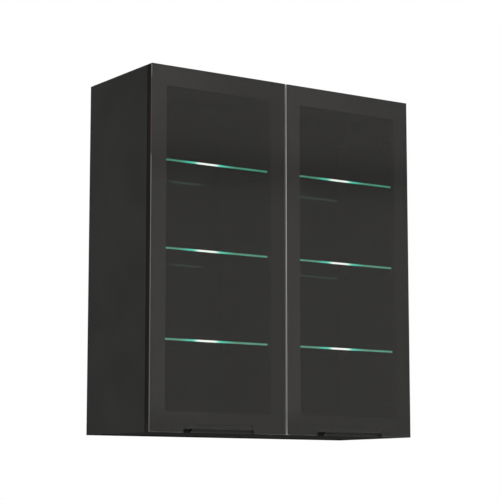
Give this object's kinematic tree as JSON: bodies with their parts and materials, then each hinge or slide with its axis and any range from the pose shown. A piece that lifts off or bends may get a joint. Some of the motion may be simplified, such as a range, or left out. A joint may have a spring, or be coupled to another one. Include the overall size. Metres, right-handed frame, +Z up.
{
  "type": "wall cabinet",
  "caption": "Wall-hung glass-fronted display cabinet: dark board carcass, hinged tinted glass doors and lit glass shelves.",
  "frame": {"origin": "on the wall plane, at the middle of the cabinet's bottom edge", "axes": "+Z up, +Y into the wall (the doors face -Y), +X to the right of a person who faces the doors"},
  "size_m": [0.8, 0.31, 0.9],
  "materials": {
    "carcass_board": "matt anthracite laminate on chipboard",
    "back_board": "matt anthracite lacquered fibreboard",
    "frame_board": "matt black foil on fibreboard",
    "door_glass": "grey-tinted float glass with ground edges",
    "shelf_glass": "clear float glass with green edges",
    "beech": "plain beech",
    "black_plastic": "fine grained black",
    "light_lens": "white diffuser",
    "hinge_metal": "nickel plated",
    "screw_metal": "zinc plated",
    "cam_metal": "die-cast zinc, as cast",
    "grip_metal": "dark anodised, bare where it is cut",
    "grommet_rubber": "matt black",
    "bumper_rubber": "translucent"
  },
  "bodies": {
    "cabinet": {"left_side_panel": "carcass_board", "right_side_panel": "carcass_board", "top_panel": "carcass_board", "bottom_panel": "carcass_board", "centre_partition": "carcass_board", "back_panel": "back_board", "cam_locks": "cam_metal", "cam_bolts": "screw_metal", "cam_caps": "black_plastic", "carcass_dowels": "beech", "partition_screws": "screw_metal", "hanger_housings": "black_plastic", "hanger_hooks": "screw_metal", "hanger_adjusters": "screw_metal", "hanger_screws": "screw_metal", "cable_grommets": "grommet_rubber", "left_top_shelf": "shelf_glass", "left_middle_shelf": "shelf_glass", "left_bottom_shelf": "shelf_glass", "left_shelf_pegs": "hinge_metal", "left_light_clips": "black_plastic", "left_light_lenses": "light_lens", "left_hinge_plates": "hinge_metal", "left_hinge_arms": "hinge_metal", "left_hinge_screws": "screw_metal", "right_top_shelf": "shelf_glass", "right_middle_shelf": "shelf_glass", "right_bottom_shelf": "shelf_glass", "right_shelf_pegs": "hinge_metal", "right_light_clips": "black_plastic", "right_light_lenses": "light_lens", "right_hinge_plates": "hinge_metal", "right_hinge_arms": "hinge_metal", "right_hinge_screws": "screw_metal"},
    "left_door": {"left_door_hinge_stile": "frame_board", "left_door_meeting_stile": "frame_board", "left_door_top_rail": "frame_board", "left_door_bottom_rail": "frame_board", "left_door_dowels": "beech", "left_door_glass": "door_glass", "left_door_grip": "grip_metal", "left_door_grip_screws": "screw_metal", "left_door_bumpers": "bumper_rubber", "left_door_hinge_cups": "hinge_metal", "left_door_hinge_pins": "hinge_metal", "left_door_cup_screws": "screw_metal"},
    "right_door": {"right_door_hinge_stile": "frame_board", "right_door_meeting_stile": "frame_board", "right_door_top_rail": "frame_board", "right_door_bottom_rail": "frame_board", "right_door_dowels": "beech", "right_door_glass": "door_glass", "right_door_grip": "grip_metal", "right_door_grip_screws": "screw_metal", "right_door_bumpers": "bumper_rubber", "right_door_hinge_cups": "hinge_metal", "right_door_hinge_pins": "hinge_metal", "right_door_cup_screws": "screw_metal"}
  },
  "joints": [
    {"name": "left_door_hinge", "type": "hinge", "parent": "cabinet", "child": "left_door", "pos_m": [-0.393, -0.2985, 0.45], "axis": [0, 0, -1], "range_deg": [0, 105]},
    {"name": "right_door_hinge", "type": "hinge", "parent": "cabinet", "child": "right_door", "pos_m": [0.393, -0.2985, 0.45], "axis": [0, 0, 1], "range_deg": [0, 105]}
  ]
}
